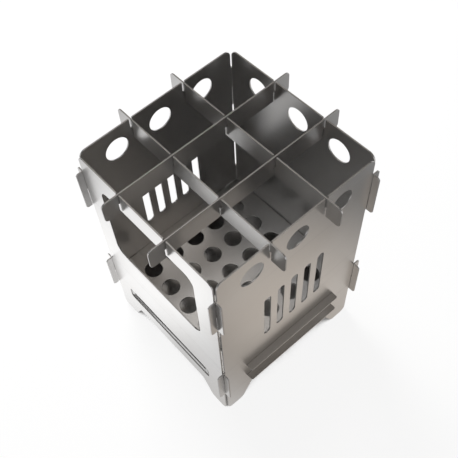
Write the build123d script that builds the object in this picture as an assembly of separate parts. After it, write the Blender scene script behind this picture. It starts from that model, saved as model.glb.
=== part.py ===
from build123d import *
import os

# Flat-pack twig stove, in millimetres.
# Four walls hook together at the corners. Two plates pass tongues through the side walls.
# Four grate bars lap into each other and into the rims of the walls.
# The origin is on the floor under the middle of the stove. +Z is up and the fuel window faces -Y.

# Sheet and fits
sheet = 0.8
fit_gap = 0.15
hook_play = 0.25
lap_play = 0.6
wall_spacing = 100.0
wall_height = 152.5
corner_radius = 4.0

# Corner hooks
hook_height = 28.2
hook_reach = 3.8
hook_chamfer = 1.0
lower_hook_height = 41.2
upper_hook_height = 125.3
side_edge_gap = 0.5
front_edge_gap = 0.3

# Legs and arch
arch_height = 14.5
arch_width = 60.0
arch_flare = 7.5
arch_radius = 3.0
foot_radius = 4.0

# Round holes under the rim
rim_hole_diameter = 14.2
rim_hole_pitch = 28.4
rim_hole_depth = 14.3
rim_hole_count = 3

# Upright slots of the side vents
vent_slot_width = 4.6
vent_slot_length = 40.0
vent_slot_pitch = 9.2
vent_slot_count = 5
vent_height = 83.0

# Fuel window and ash slot
window_width = 70.0
window_bottom = 82.0
window_top_margin = 13.6
window_radius = 6.5
ash_slot_width = 73.0
ash_slot_bottom = 25.5
ash_slot_height = 10.5
ash_slot_radius = 2.5

# Burn plate and ash plate, each at the height of its upper face
burn_plate_height = 42.0
ash_plate_height = 28.0
plate_gap = 0.3
plate_corner_radius = 1.5
tongue_width = 67.5
tongue_reach = 4.3
tongue_radius = 1.2
burn_hole_diameter = 11.0
burn_hole_pitch = 16.6
burn_hole_count = 5
ash_lip_width = 62.8
ash_lip_length = 3.0

# Grate bars
bar_length = 120.0
bar_height = 13.6
bar_spacing = 34.4
bar_end_radius = 2.6
rim_lap = 6.8
cross_lap = 6.8

# Worked out from the values above
half_spacing = wall_spacing / 2
inner_face = half_spacing - sheet / 2
outer_face = half_spacing + sheet / 2
side_half_width = inner_face - side_edge_gap
front_half_width = inner_face - front_edge_gap
plate_half_width = inner_face - plate_gap
hook_tip = outer_face + hook_reach
tongue_tip = outer_face + tongue_reach
bar_bottom = wall_height - bar_height

# The plane of each piece, through the middle of its sheet
front_plane = Plane.XZ.offset(half_spacing)
back_plane = Plane.XZ.offset(-half_spacing)
right_plane = Plane.YZ.offset(half_spacing)
left_plane = Plane.YZ.offset(-half_spacing)
burn_plane = Plane.XY.offset(burn_plate_height - sheet / 2)
ash_plane = Plane.XY.offset(ash_plate_height - sheet / 2)
bar_front_plane = Plane.XZ.offset(bar_spacing / 2)
bar_back_plane = Plane.XZ.offset(-bar_spacing / 2)
bar_right_plane = Plane.YZ.offset(bar_spacing / 2)
bar_left_plane = Plane.YZ.offset(-bar_spacing / 2)


def box_at(first_side, second_side, low, high):
    """A rectangle given by its sides, in a sheet's own plane."""
    middle = Location(((first_side + second_side) / 2, (low + high) / 2))
    return middle * Rectangle(abs(second_side - first_side), high - low)


def rounded(outline, radius):
    """A rectangle with all its corners rounded."""
    return fillet(outline.vertices(), radius)


def corners_at(outline, height):
    """The corners of an outline at one height."""
    return [corner for corner in outline.vertices() if abs(corner.Y - height) < fit_gap]


def sheet_piece(outline, plane):
    """A flat piece of sheet cut to an outline and stood in its plane."""
    return plane * extrude(outline, amount=sheet / 2, both=True)


def slots_across(places, play, low, high):
    """Two slots for a sheet, one each side of the middle, with the same play on both faces of the sheet."""
    half_width = sheet / 2 + play
    return [box_at(side * places - half_width, side * places + half_width, low, high) for side in (-1, 1)]


# Parts of a wall


def arch_cut():
    """The flared opening between the two legs."""
    top_half = arch_width / 2
    foot_half = top_half + arch_flare
    corners = [(-foot_half, 0), (foot_half, 0), (top_half, arch_height), (-top_half, arch_height)]
    return make_face(Polyline(*corners, close=True))


def hook(side, height, half_width):
    """One corner hook, from inside the wall's edge to its tip."""
    root = half_width - corner_radius
    outline = box_at(side * root, side * hook_tip, height - hook_height / 2, height + hook_height / 2)
    tips = [corner for corner in outline.vertices() if side * corner.X > half_width]
    return chamfer(tips, hook_chamfer)


def hook_slots(height, open_upward):
    """The half-depth slots that lock a pair of hooks to those of the next walls."""
    end_of_hook = hook_height / 2 + sheet
    if open_upward:
        return slots_across(half_spacing, hook_play, height - fit_gap, height + end_of_hook)
    return slots_across(half_spacing, hook_play, height - end_of_hook, height + fit_gap)


def wall_outline(half_width, hooks_open_upward):
    """A wall with its legs, arch, hooks, and notches for the grate bars."""
    outline = box_at(-half_width, half_width, 0, wall_height) - arch_cut()
    outline = fillet(corners_at(outline, wall_height), corner_radius)
    outline = fillet(corners_at(outline, arch_height), arch_radius)
    outline = fillet(corners_at(outline, 0), foot_radius)
    for height in (lower_hook_height, upper_hook_height):
        for side in (-1, 1):
            outline += hook(side, height, half_width)
        outline -= hook_slots(height, hooks_open_upward)
    outline -= slots_across(bar_spacing / 2, lap_play, bar_bottom + rim_lap, wall_height + sheet)
    return outline


def rim_holes():
    """The row of round holes under the rim."""
    row = Location((0, wall_height - rim_hole_depth)) * GridLocations(rim_hole_pitch, 1, rim_hole_count, 1)
    return row * Circle(rim_hole_diameter / 2)


def side_vent():
    """The upright slots in the middle of a side wall."""
    row = Location((0, vent_height)) * GridLocations(vent_slot_pitch, 1, vent_slot_count, 1)
    return row * SlotOverall(vent_slot_length, vent_slot_width, rotation=90)


def tongue_slot(plate_height):
    """The slot that a plate's tongue passes through, resting on its lower edge."""
    half_length = tongue_width / 2 + fit_gap
    return box_at(-half_length, half_length, plate_height - sheet, plate_height + 2 * fit_gap)


def front_outline():
    """The front wall, with its fuel window and ash slot."""
    window_top = wall_height - window_top_margin
    window = box_at(-window_width / 2, window_width / 2, window_bottom, window_top)
    ash_slot_top = ash_slot_bottom + ash_slot_height
    ash_slot = box_at(-ash_slot_width / 2, ash_slot_width / 2, ash_slot_bottom, ash_slot_top)
    outline = wall_outline(front_half_width, hooks_open_upward=True)
    return outline - rounded(window, window_radius) - rounded(ash_slot, ash_slot_radius)


def back_outline():
    """The back wall, with its round holes."""
    return wall_outline(front_half_width, hooks_open_upward=True) - rim_holes()


def side_outline():
    """A side wall, with its round holes, vent and two tongue slots."""
    outline = wall_outline(side_half_width, hooks_open_upward=False) - rim_holes() - side_vent()
    return outline - tongue_slot(burn_plate_height) - tongue_slot(ash_plate_height)


# Plates


def tongues():
    """The two tongues of a plate, each from inside its edge to its tip."""
    root = plate_half_width - plate_corner_radius
    both = []
    for side in (-1, 1):
        tongue = box_at(side * root, side * tongue_tip, -tongue_width / 2, tongue_width / 2)
        tips = [corner for corner in tongue.vertices() if side * corner.X > plate_half_width]
        both.append(fillet(tips, tongue_radius))
    return both


def burn_outline():
    """The perforated plate."""
    plate = rounded(Rectangle(2 * plate_half_width, 2 * plate_half_width), plate_corner_radius) + tongues()
    holes = GridLocations(burn_hole_pitch, burn_hole_pitch, burn_hole_count, burn_hole_count)
    return plate - holes * Circle(burn_hole_diameter / 2)


def ash_outline():
    """The plain plate, with a lip at its front and back."""
    body_depth = 2 * (plate_half_width - ash_lip_length)
    body = rounded(Rectangle(2 * plate_half_width, body_depth), plate_corner_radius)
    return body + Rectangle(ash_lip_width, 2 * plate_half_width) + tongues()


# Grate bars


def bar_outline(cross_slots):
    """A bar that straddles both walls, with its cross slots cut from above or below."""
    bar = rounded(box_at(-bar_length / 2, bar_length / 2, bar_bottom, wall_height), bar_end_radius)
    bar -= slots_across(half_spacing, lap_play, bar_bottom - sheet, bar_bottom + rim_lap)
    return bar - cross_slots


def lower_bar_outline():
    """A bar whose cross slots open upward."""
    slot_bottom = bar_bottom + cross_lap - fit_gap
    return bar_outline(slots_across(bar_spacing / 2, lap_play, slot_bottom, wall_height + sheet))


def upper_bar_outline():
    """A bar whose cross slots open downward."""
    slot_top = bar_bottom + cross_lap + fit_gap
    return bar_outline(slots_across(bar_spacing / 2, lap_play, bar_bottom - sheet, slot_top))


pieces = {
    "front_panel": sheet_piece(front_outline(), front_plane),
    "back_panel": sheet_piece(back_outline(), back_plane),
    "left_panel": sheet_piece(side_outline(), left_plane),
    "right_panel": sheet_piece(side_outline(), right_plane),
    "burn_plate": sheet_piece(burn_outline(), burn_plane),
    "ash_plate": sheet_piece(ash_outline(), ash_plane),
    "grate_bar_front": sheet_piece(lower_bar_outline(), bar_front_plane),
    "grate_bar_back": sheet_piece(lower_bar_outline(), bar_back_plane),
    "grate_bar_left": sheet_piece(upper_bar_outline(), bar_left_plane),
    "grate_bar_right": sheet_piece(upper_bar_outline(), bar_right_plane),
}

os.makedirs("parts", exist_ok=True)
for name, piece in pieces.items():
    export_step(piece, os.path.join("parts", name + ".step"))
    print(name, round(piece.volume, 1))
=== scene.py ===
import math

import bpy
from mathutils import Matrix, Vector

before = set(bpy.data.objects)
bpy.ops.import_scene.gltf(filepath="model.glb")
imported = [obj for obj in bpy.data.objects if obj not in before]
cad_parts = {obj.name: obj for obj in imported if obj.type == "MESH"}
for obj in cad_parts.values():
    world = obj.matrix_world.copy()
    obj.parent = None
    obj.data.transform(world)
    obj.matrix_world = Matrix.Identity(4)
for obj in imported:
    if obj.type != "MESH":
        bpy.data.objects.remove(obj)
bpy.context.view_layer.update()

# Flat-pack twig stove of satin stainless sheet, in metres.
# The ten CAD nodes are the real pieces. This script gives them their finish and rounds their cut edges.

# Camera, at the photograph's viewing angle
CAMERA_AZIMUTH = 58.8
CAMERA_ELEVATION = 58.2
CAMERA_ROLL = -10.3
CAMERA_DISTANCE = 0.3738
CAMERA_TARGET = (-0.0006, -0.0322, 0.1025)
FOCAL_LENGTH = 56.75
SENSOR_WIDTH = 36.0
FRAME_SHIFT = (0.107, 0.046)
CLIP_START = 0.01

# Edges of the sheet
EDGE_ROUNDING = 0.00012
ROUNDING_STEPS = 2
WELD_DISTANCE = 0.000002
FLAT_ANGLE = 1.0
SHARP_ANGLE = 40.0

# Steel, as linear colours
STEEL = (0.68, 0.675, 0.67)
STEEL_SHADE = (0.65, 0.64, 0.63)
CUT_EDGE = (0.55, 0.54, 0.53)
STEEL_ROUGHNESS = 0.29
ROUGHNESS_SPREAD = 0.02
CUT_ROUGHNESS = 0.42

# How squarely a surface faces out of its sheet, from where it is cut edge to where it is face
CUT_FACING = 0.3
FACE_FACING = 0.8

# Noises: each has this many features a metre, or so many along its lines and across them
NOISE_DETAIL = 3.0
LINE_DETAIL = 1.0
CLOUD_SCALE = 22.0
CLOUD_START = 0.35
CLOUD_FULL = 0.65
GRAIN_ALONG = 60.0
GRAIN_ACROSS = 8000.0
GRAIN_HEIGHT = 0.0000004
SCRATCH_ALONG = 12.0
SCRATCH_ACROSS = 900.0
SCRATCH_START = 0.67
SCRATCH_FULL = 0.73
SCRATCH_ROUGHNESS = 0.14
CUT_MARK_ALONG = 100.0
CUT_MARK_ACROSS = 4000.0
CUT_MARK_HEIGHT = 0.00001

# Colours and tints of light
WHITE = (1.0, 1.0, 1.0)
WARM = (1.0, 0.9, 0.8)

# Floor: white to the camera, and far off to the steel, which sees it dim near the stove with pools of light
# Its shadow is faint in the open, and full where the pieces just above it leave it little uncovered
# The steel sees the glow share of that light, and for the rest the floor's real shading
# Each pool is a place, a reach, a strength and a tint
FLOOR_SIZE = 6.0
FLOOR_SHADOW_SHARE = 0.11
COVER_HEIGHT = 0.06
COVER_SAMPLES = 16
DEEP_UNCOVERED = 0.36
OPEN_UNCOVERED = 0.42
FLOOR_GLOW_SHARE = 0.97
FLOOR_NEAR = (0.03, 0.03, 0.03)
FLOOR_NEAR_REACH = 0.15
FLOOR_FAR_REACH = 0.34
FLOOR_POOLS = (
    ((-0.085, -0.085), 0.16, 1.35, WHITE),
    ((-0.01, -0.105), 0.08, 0.75, WHITE),
    ((0.045, -0.06), 0.05, 0.55, WHITE),
    ((0.11, -0.04), 0.1, 0.15, WARM),
    ((0.09, 0.03), 0.12, 0.65, WARM),
    ((-0.03, 0.14), 0.17, 0.75, WHITE),
    ((-0.15, 0.05), 0.17, 0.75, WHITE),
)

# Sky: white to the camera, and at the horizon to the steel, which sees a dark room above with soft panels
# Each panel is a direction, a reach in degrees, a strength and a tint
SKY_DARK = (0.01, 0.01, 0.01)
HORIZON_LOW = 5.0
HORIZON_HIGH = 24.0
SKY_PANELS = (
    ((-0.3, 0.0, 0.95), 20.0, 1.4, WHITE),
    ((0.0, -0.3, 0.95), 20.0, 1.2, WHITE),
    ((-0.45, 0.27, 0.85), 25.0, 0.5, WARM),
    ((0.45, 0.27, 0.85), 28.0, 0.35, WARM),
)

# Lamp
LAMP_AZIMUTH = -102.0
LAMP_ELEVATION = 48.0
LAMP_DISTANCE = 1.1
LAMP_SIZE = 0.5
LAMP_POWER = 12.0

# Colour sockets of a Mix node
MIX_FIRST = 6
MIX_SECOND = 7
MIX_RESULT = 2


# Helpers


def add(tree, kind, **sockets):
    """A node with its input sockets set by name."""
    node = tree.nodes.new(kind)
    for name, value in sockets.items():
        node.inputs[name.replace("_", " ")].default_value = value
    return node


def maths(tree, operation, first, second=None):
    """A Math node on a socket, and on a socket or number where the operation takes two."""
    node = tree.nodes.new("ShaderNodeMath")
    node.operation = operation
    tree.links.new(first, node.inputs[0])
    if isinstance(second, float):
        node.inputs[1].default_value = second
    elif second is not None:
        tree.links.new(second, node.inputs[1])
    return node.outputs[0]


def spread(tree, value, low, high, start=0.0, end=1.0, kind="LINEAR"):
    """A value between start and end, mapped to low and high and held there."""
    node = tree.nodes.new("ShaderNodeMapRange")
    node.interpolation_type = kind
    node.inputs["From Min"].default_value = start
    node.inputs["From Max"].default_value = end
    node.inputs["To Min"].default_value = low
    node.inputs["To Max"].default_value = high
    tree.links.new(value, node.inputs["Value"])
    return node.outputs["Result"]


def mixed(tree, share, first, second):
    """Two colours or colour sockets, mixed by a socket."""
    node = tree.nodes.new("ShaderNodeMix")
    node.data_type = "RGBA"
    tree.links.new(share, node.inputs["Factor"])
    for socket, colour in ((node.inputs[MIX_FIRST], first), (node.inputs[MIX_SECOND], second)):
        if isinstance(colour, tuple):
            socket.default_value = (*colour, 1.0)
        else:
            tree.links.new(colour, socket)
    return node.outputs[MIX_RESULT]


def plus_light(tree, total, share, strength, tint):
    """A colour socket with a tinted light added to it, as much of it as a socket says."""
    node = tree.nodes.new("ShaderNodeMix")
    node.data_type = "RGBA"
    node.blend_type = "ADD"
    tree.links.new(share, node.inputs["Factor"])
    tree.links.new(total, node.inputs[MIX_FIRST])
    node.inputs[MIX_SECOND].default_value = (*(strength * channel for channel in tint), 1.0)
    return node.outputs[MIX_RESULT]


def along(tree, vector, direction):
    """How far a vector points along a direction."""
    node = tree.nodes.new("ShaderNodeVectorMath")
    node.operation = "DOT_PRODUCT"
    node.inputs[1].default_value = direction
    tree.links.new(vector, node.inputs[0])
    return node.outputs["Value"]


def noise(tree, place, stretch, detail=NOISE_DETAIL):
    """Noise in a piece's own frame, stretched differently along each axis."""
    mapping = add(tree, "ShaderNodeMapping", Scale=stretch)
    texture = add(tree, "ShaderNodeTexNoise", Scale=1.0, Detail=detail)
    tree.links.new(place, mapping.inputs["Vector"])
    tree.links.new(mapping.outputs["Vector"], texture.inputs["Vector"])
    return texture.outputs["Fac"]


def new_material(name):
    """An empty node material."""
    material = bpy.data.materials.new(name)
    material.use_nodes = True
    material.node_tree.nodes.clear()
    return material


def direction_to(azimuth, elevation):
    """The direction to a place at angles in degrees. Azimuth 0 is in front of the stove."""
    azimuth, elevation = math.radians(azimuth), math.radians(elevation)
    level = math.cos(elevation)
    return Vector((math.sin(azimuth) * level, -math.cos(azimuth) * level, math.sin(elevation)))


# Materials


def stretched(lengthwise, crosswise, long_axis):
    """A noise scale that is low along one axis and high across it."""
    return tuple(lengthwise if axis == long_axis else crosswise for axis in range(3))


def steel_material(name, sheet_axis, grain_axis):
    """Satin rolled sheet with a fine grain, clouding, a few scratches, and fine marks on its cut edges."""
    across_sheet = tuple(float(axis == sheet_axis) for axis in range(3))
    material = new_material(name)
    tree = material.node_tree
    coordinates = add(tree, "ShaderNodeTexCoord")
    place = coordinates.outputs["Object"]
    grain = noise(tree, place, stretched(GRAIN_ALONG, GRAIN_ACROSS, grain_axis))
    cloud = noise(tree, place, (CLOUD_SCALE,) * 3)
    scratch = noise(tree, place, stretched(SCRATCH_ALONG, SCRATCH_ACROSS, grain_axis), LINE_DETAIL)
    cut_mark = noise(tree, place, stretched(CUT_MARK_ALONG, CUT_MARK_ACROSS, sheet_axis), LINE_DETAIL)
    facing = along(tree, coordinates.outputs["Normal"], across_sheet)
    cut = spread(tree, maths(tree, "ABSOLUTE", facing), 1.0, 0.0, CUT_FACING, FACE_FACING)
    shade = spread(tree, cloud, 0.0, 1.0, CLOUD_START, CLOUD_FULL)
    colour = mixed(tree, cut, mixed(tree, shade, STEEL, STEEL_SHADE), CUT_EDGE)
    dull = spread(tree, grain, STEEL_ROUGHNESS - ROUGHNESS_SPREAD, STEEL_ROUGHNESS + ROUGHNESS_SPREAD)
    scratched = spread(tree, scratch, 0.0, SCRATCH_ROUGHNESS, SCRATCH_START, SCRATCH_FULL)
    rough_cut = maths(tree, "MULTIPLY", cut, CUT_ROUGHNESS - STEEL_ROUGHNESS)
    roughness = maths(tree, "ADD", maths(tree, "ADD", dull, scratched), rough_cut)
    grain_height = maths(tree, "MULTIPLY", grain, GRAIN_HEIGHT)
    mark_height = maths(tree, "MULTIPLY", maths(tree, "MULTIPLY", cut_mark, cut), CUT_MARK_HEIGHT)
    bump = add(tree, "ShaderNodeBump", Strength=1.0, Distance=1.0)
    shader = add(tree, "ShaderNodeBsdfPrincipled", Metallic=1.0)
    output = tree.nodes.new("ShaderNodeOutputMaterial")
    tree.links.new(maths(tree, "ADD", grain_height, mark_height), bump.inputs["Height"])
    tree.links.new(colour, shader.inputs["Base Color"])
    tree.links.new(roughness, shader.inputs["Roughness"])
    tree.links.new(bump.outputs["Normal"], shader.inputs["Normal"])
    tree.links.new(shader.outputs["BSDF"], output.inputs["Surface"])
    return material


def distance_from(tree, place, x, y):
    """How far a place is from a point of the floor."""
    away = tree.nodes.new("ShaderNodeVectorMath")
    away.operation = "DISTANCE"
    away.inputs[1].default_value = (x, y, 0.0)
    tree.links.new(place, away.inputs[0])
    return away.outputs["Value"]


def seen_directly(tree, path):
    """1 for a ray from the camera, or for one that has passed through something clear."""
    return maths(tree, "MAXIMUM", path.outputs["Is Camera Ray"], path.outputs["Is Transmission Ray"])


def uncovered(tree):
    """How little the pieces just above the floor cover it, from 0 to 1."""
    node = add(tree, "ShaderNodeAmbientOcclusion", Distance=COVER_HEIGHT)
    node.samples = COVER_SAMPLES
    return node.outputs["AO"]


def floor_material():
    """White to the camera, with a faint shadow round the stove and a full one deep under it.

    The steel sees it white far off, with pools of light nearer.
    """
    material = new_material("floor_white")
    tree = material.node_tree
    place = tree.nodes.new("ShaderNodeNewGeometry").outputs["Position"]
    path = tree.nodes.new("ShaderNodeLightPath")
    from_stove = distance_from(tree, place, 0.0, 0.0)
    far_off = spread(tree, from_stove, 0.0, 1.0, FLOOR_NEAR_REACH, FLOOR_FAR_REACH, "SMOOTHSTEP")
    light = mixed(tree, far_off, FLOOR_NEAR, WHITE)
    for (x, y), reach, strength, tint in FLOOR_POOLS:
        share = spread(tree, distance_from(tree, place, x, y), 1.0, 0.0, 0.0, reach, "SMOOTHSTEP")
        light = plus_light(tree, light, share, strength, tint)
    seen = seen_directly(tree, path)
    plain_share = 1.0 - FLOOR_SHADOW_SHARE
    open_share = spread(tree, uncovered(tree), 0.0, plain_share, DEEP_UNCOVERED, OPEN_UNCOVERED)
    camera_share = maths(tree, "MULTIPLY", seen, open_share)
    glossy_share = maths(tree, "MULTIPLY", path.outputs["Is Glossy Ray"], FLOOR_GLOW_SHARE)
    matt = tree.nodes.new("ShaderNodeBsdfDiffuse")
    glow = add(tree, "ShaderNodeEmission", Strength=1.0)
    mix = tree.nodes.new("ShaderNodeMixShader")
    output = tree.nodes.new("ShaderNodeOutputMaterial")
    matt.inputs["Color"].default_value = (*WHITE, 1.0)
    tree.links.new(mixed(tree, seen, light, WHITE), glow.inputs["Color"])
    tree.links.new(maths(tree, "ADD", camera_share, glossy_share), mix.inputs["Fac"])
    tree.links.new(matt.outputs["BSDF"], mix.inputs[1])
    tree.links.new(glow.outputs["Emission"], mix.inputs[2])
    tree.links.new(mix.outputs["Shader"], output.inputs["Surface"])
    return material


# Pieces


def round_edges(piece):
    """Takes the sharpness off the cut edges, as deburring does."""
    weld = piece.modifiers.new("weld", "WELD")
    weld.merge_threshold = WELD_DISTANCE
    flat = piece.modifiers.new("flat", "DECIMATE")
    flat.decimate_type = "DISSOLVE"
    flat.angle_limit = math.radians(FLAT_ANGLE)
    bevel = piece.modifiers.new("edges", "BEVEL")
    bevel.width = EDGE_ROUNDING
    bevel.segments = ROUNDING_STEPS
    bevel.limit_method = "ANGLE"
    bevel.angle_limit = math.radians(SHARP_ANGLE)
    bevel.harden_normals = True


def dress(piece, material):
    """Gives a CAD node its finish."""
    piece.data.materials.clear()
    piece.data.materials.append(material)
    round_edges(piece)


# Scene


def make_camera():
    """A camera at the photograph's viewing angle."""
    back = direction_to(CAMERA_AZIMUTH, CAMERA_ELEVATION)
    data = bpy.data.cameras.new("camera")
    data.sensor_width = SENSOR_WIDTH
    data.lens = FOCAL_LENGTH
    data.shift_x, data.shift_y = FRAME_SHIFT
    data.clip_start = CLIP_START
    camera = bpy.data.objects.new("camera", data)
    roll = Matrix.Rotation(math.radians(CAMERA_ROLL), 4, "Z")
    turn = (-back).to_track_quat("-Z", "Y").to_matrix().to_4x4() @ roll
    camera.matrix_world = Matrix.Translation(Vector(CAMERA_TARGET) + back * CAMERA_DISTANCE) @ turn
    bpy.context.scene.collection.objects.link(camera)
    bpy.context.scene.camera = camera


def make_floor():
    """A pale plane under the stove."""
    half = FLOOR_SIZE / 2
    mesh = bpy.data.meshes.new("floor")
    corners = [(-half, -half, 0), (half, -half, 0), (half, half, 0), (-half, half, 0)]
    mesh.from_pydata(corners, [], [(0, 1, 2, 3)])
    floor = bpy.data.objects.new("floor", mesh)
    floor.data.materials.append(floor_material())
    bpy.context.scene.collection.objects.link(floor)


def make_world():
    """White to the camera and at the horizon. The steel sees a dark room above that, with soft panels."""
    world = bpy.data.worlds.new("surround")
    world.use_nodes = True
    tree = world.node_tree
    tree.nodes.clear()
    place = tree.nodes.new("ShaderNodeTexCoord")
    path = tree.nodes.new("ShaderNodeLightPath")
    background = add(tree, "ShaderNodeBackground", Strength=1.0)
    output = tree.nodes.new("ShaderNodeOutputWorld")
    height = along(tree, place.outputs["Generated"], (0.0, 0.0, 1.0))
    low, high = (math.sin(math.radians(angle)) for angle in (HORIZON_LOW, HORIZON_HIGH))
    light = mixed(tree, spread(tree, height, 1.0, 0.0, low, high, "SMOOTHSTEP"), SKY_DARK, WHITE)
    for direction, reach, strength, tint in SKY_PANELS:
        facing = along(tree, place.outputs["Generated"], Vector(direction).normalized())
        share = spread(tree, facing, 0.0, 1.0, math.cos(math.radians(reach)), 1.0, "SMOOTHSTEP")
        light = plus_light(tree, light, share, strength, tint)
    tree.links.new(mixed(tree, seen_directly(tree, path), light, WHITE), background.inputs["Color"])
    tree.links.new(background.outputs["Background"], output.inputs["Surface"])
    bpy.context.scene.world = world


def make_lamp():
    """One soft lamp, which lights the floor and casts the shadow on it."""
    towards = direction_to(LAMP_AZIMUTH, LAMP_ELEVATION)
    data = bpy.data.lights.new("key", "AREA")
    data.shape = "DISK"
    data.size = LAMP_SIZE
    data.energy = LAMP_POWER
    lamp = bpy.data.objects.new("key", data)
    lamp.visible_glossy = False
    lamp.location = towards * LAMP_DISTANCE
    lamp.rotation_mode = "QUATERNION"
    lamp.rotation_quaternion = (-towards).to_track_quat("-Z", "Y")
    bpy.context.scene.collection.objects.link(lamp)


# Each finish with the axis through its sheet, the axis along its grain and the nodes that have it
X, Y, Z = 0, 1, 2
FINISHES = (
    ("steel_front_back", Y, X, ("front_panel", "back_panel", "grate_bar_front", "grate_bar_back")),
    ("steel_sides", X, Y, ("left_panel", "right_panel", "grate_bar_left", "grate_bar_right")),
    ("steel_plates", Z, X, ("burn_plate", "ash_plate")),
)
for finish, sheet_axis, grain_axis, nodes in FINISHES:
    material = steel_material(finish, sheet_axis, grain_axis)
    for node in nodes:
        dress(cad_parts[node], material)

make_floor()
make_world()
make_lamp()
make_camera()
bpy.context.scene.view_settings.view_transform = "Standard"
